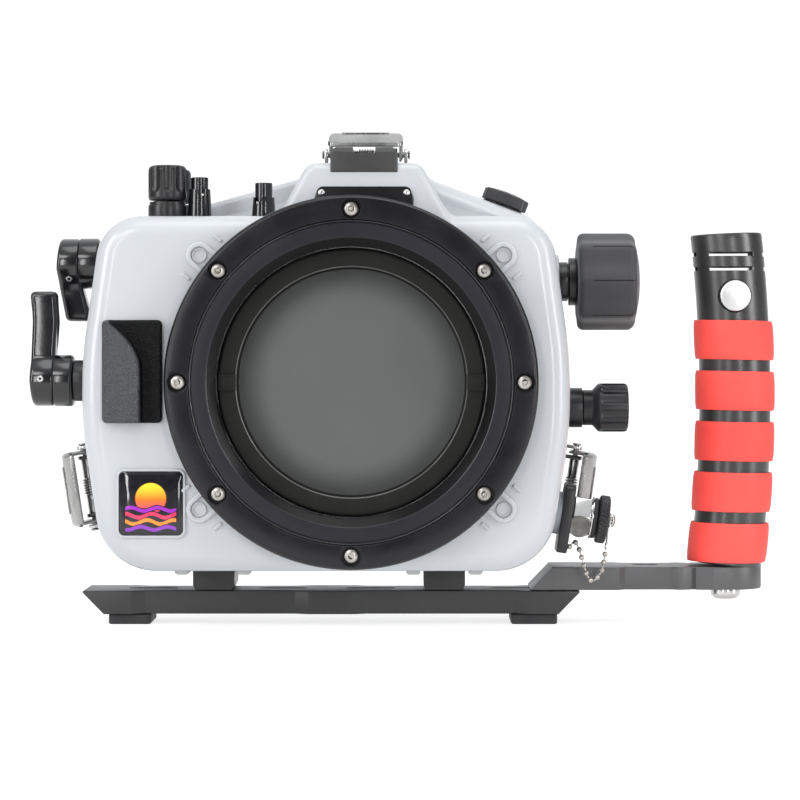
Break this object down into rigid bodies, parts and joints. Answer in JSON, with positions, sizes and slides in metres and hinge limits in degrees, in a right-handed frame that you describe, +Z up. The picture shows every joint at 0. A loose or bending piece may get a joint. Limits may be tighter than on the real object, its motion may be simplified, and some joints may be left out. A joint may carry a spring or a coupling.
{
  "type": "underwater camera housing",
  "caption": "Light grey underwater camera housing with a black port ring, steel latches and sealed controls, on a tray with a red gripped side handle.",
  "frame": {"origin": "on the floor, under the middle of the whole object", "axes": "+X to the right of the picture, along the tray; -Y out of the port; +Z up"},
  "size_m": [0.3864, 0.1596, 0.2571],
  "materials": {
    "shell_grey": "light grey satin paint",
    "black_anodised": "black satin anodised",
    "black_plastic": "black, moulded",
    "black_rubber": "black, soft",
    "tray_grey": "dark grey anodised",
    "stainless": "polished stainless steel",
    "clear_plastic": "clear moulding",
    "cap_plastic": "grey green, moulded",
    "coral_foam": "coral red soft grip",
    "badge_gloss": "domed resin over a printed pattern"
  },
  "bodies": {
    "housing": {"front_shell": "shell_grey", "port_ring": "black_anodised", "clamp_ring_and_screws": "stainless", "nameplate": "black_plastic", "badge_tile": "badge_gloss", "grip_pad": "black_rubber", "accessory_block": "black_anodised", "top_latch_base": "stainless", "left_latch_base": "stainless", "right_latch_base": "stainless", "back_cover": "clear_plastic", "back_o_ring": "black_rubber", "upper_lever_gland": "black_anodised", "lower_lever_gland": "black_anodised", "zoom_gland": "black_anodised", "release_gland": "black_anodised", "top_knob_glands": "black_anodised", "outer_top_button_gland": "black_anodised", "inner_top_button_gland": "black_anodised", "connector_bracket": "black_anodised", "connector_bulkhead": "stainless", "cap_chain": "stainless", "left_mount_block": "black_plastic", "right_mount_block": "black_plastic", "tray": "tray_grey", "left_tray_foot": "black_rubber", "right_tray_foot": "black_rubber", "tray_extension": "tray_grey", "handle_tube": "black_anodised", "handle_grip_1": "coral_foam", "handle_grip_2": "coral_foam", "handle_grip_3": "coral_foam", "handle_grip_4": "coral_foam", "handle_grip_5": "coral_foam", "camera_shelf": "black_anodised"},
    "body_cap": {"body_cap": "cap_plastic"},
    "top_latch_lever": {"top_latch_lever": "stainless"},
    "top_latch_bail": {"top_latch_bail": "stainless"},
    "left_latch_lever": {"left_latch_lever": "stainless"},
    "left_latch_bail": {"left_latch_bail": "stainless"},
    "right_latch_lever": {"right_latch_lever": "stainless"},
    "right_latch_bail": {"right_latch_bail": "stainless"},
    "rear_button_1": {"rear_button_1": "black_plastic"},
    "rear_button_2": {"rear_button_2": "black_plastic"},
    "rear_button_3": {"rear_button_3": "black_plastic"},
    "rear_dial": {"rear_dial": "black_plastic"},
    "upper_lever": {"upper_lever": "black_anodised"},
    "lower_lever": {"lower_lever": "black_anodised"},
    "zoom_knob": {"zoom_knob": "black_rubber"},
    "release_knob": {"release_knob": "black_plastic"},
    "front_top_knob": {"front_top_knob": "black_plastic"},
    "rear_top_knob": {"rear_top_knob": "black_plastic"},
    "outer_top_button": {"outer_top_button": "black_anodised"},
    "inner_top_button": {"inner_top_button": "black_anodised"},
    "vacuum_plug_o_ring": {"vacuum_plug_o_ring": "black_rubber"},
    "vacuum_plug": {"vacuum_plug": "tray_grey"},
    "cap_swivel_ring": {"cap_swivel_ring": "stainless"},
    "connector_cap": {"connector_cap": "black_anodised"},
    "handle_button": {"handle_button": "stainless"},
    "camera_screw": {"camera_screw": "stainless"}
  },
  "joints": [
    {"name": "body_cap_pull", "type": "slide", "parent": "housing", "child": "body_cap", "axis": [0, -1, 0], "range_m": [0, 0.045]},
    {"name": "top_latch_turn", "type": "hinge", "parent": "housing", "child": "top_latch_lever", "pos_m": [-0.02154, 0.01625, 0.2464], "axis": [-1, 0, 0], "range_deg": [0, 120]},
    {"name": "top_latch_bail_turn", "type": "hinge", "parent": "top_latch_lever", "child": "top_latch_bail", "pos_m": [-0.02154, 0.00425, 0.2456], "axis": [-1, 0, 0], "range_deg": [-120, 0]},
    {"name": "left_latch_turn", "type": "hinge", "parent": "housing", "child": "left_latch_lever", "pos_m": [-0.16903, 0.01625, 0.06997], "axis": [0.1507, 0, -0.9886], "range_deg": [0, 120]},
    {"name": "left_latch_bail_turn", "type": "hinge", "parent": "left_latch_lever", "child": "left_latch_bail", "pos_m": [-0.16824, 0.00425, 0.07009], "axis": [0.1507, 0, -0.9886], "range_deg": [-120, 0]},
    {"name": "right_latch_turn", "type": "hinge", "parent": "housing", "child": "right_latch_lever", "pos_m": [0.08735, 0.01625, 0.06997], "axis": [0.1507, 0, 0.9886], "range_deg": [0, 120]},
    {"name": "right_latch_bail_turn", "type": "hinge", "parent": "right_latch_lever", "child": "right_latch_bail", "pos_m": [0.08656, 0.00425, 0.07009], "axis": [0.1507, 0, 0.9886], "range_deg": [-120, 0]},
    {"name": "rear_button_1_press", "type": "slide", "parent": "housing", "child": "rear_button_1", "axis": [0, -1, 0], "range_m": [0, 0.003], "stiffness_N_per_m": 300, "springref_m": -0.002},
    {"name": "rear_button_2_press", "type": "slide", "parent": "housing", "child": "rear_button_2", "axis": [0, -1, 0], "range_m": [0, 0.003], "stiffness_N_per_m": 300, "springref_m": -0.002},
    {"name": "rear_button_3_press", "type": "slide", "parent": "housing", "child": "rear_button_3", "axis": [0, -1, 0], "range_m": [0, 0.003], "stiffness_N_per_m": 300, "springref_m": -0.002},
    {"name": "rear_dial_turn", "type": "hinge", "parent": "housing", "child": "rear_dial", "pos_m": [-0.10184, -0.07975, 0.1039], "axis": [0, 1, 0], "continuous": true},
    {"name": "upper_lever_turn", "type": "hinge", "parent": "housing", "child": "upper_lever", "pos_m": [-0.04084, -0.00175, 0.1879], "axis": [1, 0, 0], "range_deg": [0, 30]},
    {"name": "lower_lever_turn", "type": "hinge", "parent": "housing", "child": "lower_lever", "pos_m": [-0.04084, -0.03575, 0.1265], "axis": [1, 0, 0], "range_deg": [-22, 0], "stiffness_Nm_per_rad": 0.35, "springref_deg": 11.46},
    {"name": "zoom_knob_turn", "type": "hinge", "parent": "housing", "child": "zoom_knob", "pos_m": [-0.04084, -0.01975, 0.1779], "axis": [1, 0, 0], "continuous": true},
    {"name": "release_knob_turn", "type": "hinge", "parent": "housing", "child": "release_knob", "pos_m": [-0.04084, -0.01975, 0.1124], "axis": [1, 0, 0], "continuous": true},
    {"name": "front_top_knob_turn", "type": "hinge", "parent": "housing", "child": "front_top_knob", "pos_m": [-0.12334, -0.03475, 0.1259], "axis": [0, 0, 1], "continuous": true},
    {"name": "rear_top_knob_turn", "type": "hinge", "parent": "housing", "child": "rear_top_knob", "pos_m": [-0.12334, -0.00475, 0.1259], "axis": [0, 0, 1], "continuous": true},
    {"name": "outer_top_button_press", "type": "slide", "parent": "housing", "child": "outer_top_button", "axis": [0, 0, -1], "range_m": [0, 0.003], "stiffness_N_per_m": 300, "springref_m": -0.002},
    {"name": "inner_top_button_press", "type": "slide", "parent": "housing", "child": "inner_top_button", "axis": [0, 0, -1], "range_m": [0, 0.003], "stiffness_N_per_m": 300, "springref_m": -0.002},
    {"name": "vacuum_plug_rise", "type": "slide", "parent": "housing", "child": "vacuum_plug_o_ring", "axis": [0.3527, 0, 0.9357], "range_m": [0, 0.0045]},
    {"name": "vacuum_plug_turn", "type": "hinge", "parent": "vacuum_plug_o_ring", "child": "vacuum_plug", "pos_m": [0.05016, 0.00225, 0.21725], "axis": [0.3527, 0, 0.9357], "range_deg": [0, 1083]},
    {"name": "connector_cap_rise", "type": "slide", "parent": "housing", "child": "cap_swivel_ring", "axis": [0.9886, 0, -0.1507], "range_m": [0, 0.00508]},
    {"name": "connector_cap_turn", "type": "hinge", "parent": "cap_swivel_ring", "child": "connector_cap", "pos_m": [0.07605, -0.03675, 0.0589], "axis": [0.9886, 0, -0.1507], "range_deg": [0, 1443]},
    {"name": "handle_button_press", "type": "slide", "parent": "housing", "child": "handle_button", "axis": [0, 1, 0], "range_m": [0, 0.0025], "stiffness_N_per_m": 300, "springref_m": -0.002},
    {"name": "camera_screw_turn", "type": "hinge", "parent": "housing", "child": "camera_screw", "pos_m": [-0.02784, -0.00775, 0.1259], "axis": [0, 0, 1], "continuous": true}
  ],
  "couplings": [
    {"joint": "top_latch_bail_turn", "follows": "top_latch_turn", "ratio": -1},
    {"joint": "left_latch_bail_turn", "follows": "left_latch_turn", "ratio": -1},
    {"joint": "right_latch_bail_turn", "follows": "right_latch_turn", "ratio": -1},
    {"joint": "vacuum_plug_turn", "follows": "vacuum_plug_rise", "rad_per_m": 4188.8},
    {"joint": "connector_cap_turn", "follows": "connector_cap_rise", "rad_per_m": 4947.4}
  ]
}
